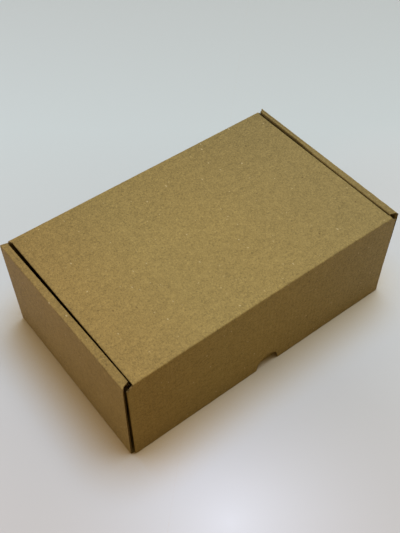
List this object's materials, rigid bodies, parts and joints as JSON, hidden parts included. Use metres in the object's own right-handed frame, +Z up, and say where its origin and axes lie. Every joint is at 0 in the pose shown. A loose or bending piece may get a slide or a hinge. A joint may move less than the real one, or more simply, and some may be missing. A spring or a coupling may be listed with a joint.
{
  "type": "corrugated mailer box",
  "caption": "Closed kraft mailer box folded from one corrugated sheet: rolled end walls, hinged lid and a tuck-in front flap with a thumb notch.",
  "frame": {"origin": "middle of the footprint, on the base panel's underside", "axes": "+X along the length to the right-hand end wall, +Y to the back wall and its hinge, +Z up"},
  "size_m": [0.231, 0.144, 0.0827],
  "materials": {
    "kraft_board": "matt uncoated kraft liner"
  },
  "bodies": {
    "tray": {"tray": "kraft_board"},
    "lid": {"lid": "kraft_board"},
    "front_flap": {"front_flap": "kraft_board"}
  },
  "joints": [
    {"name": "lid_hinge", "type": "hinge", "parent": "tray", "child": "lid", "pos_m": [0, 0.07135, 0.08115], "axis": [-1, 0, 0], "range_deg": [0, 135]},
    {"name": "flap_hinge", "type": "hinge", "parent": "lid", "child": "front_flap", "pos_m": [0, -0.0707, 0.0805], "axis": [-1, 0, 0], "range_deg": [0, 90]}
  ]
}
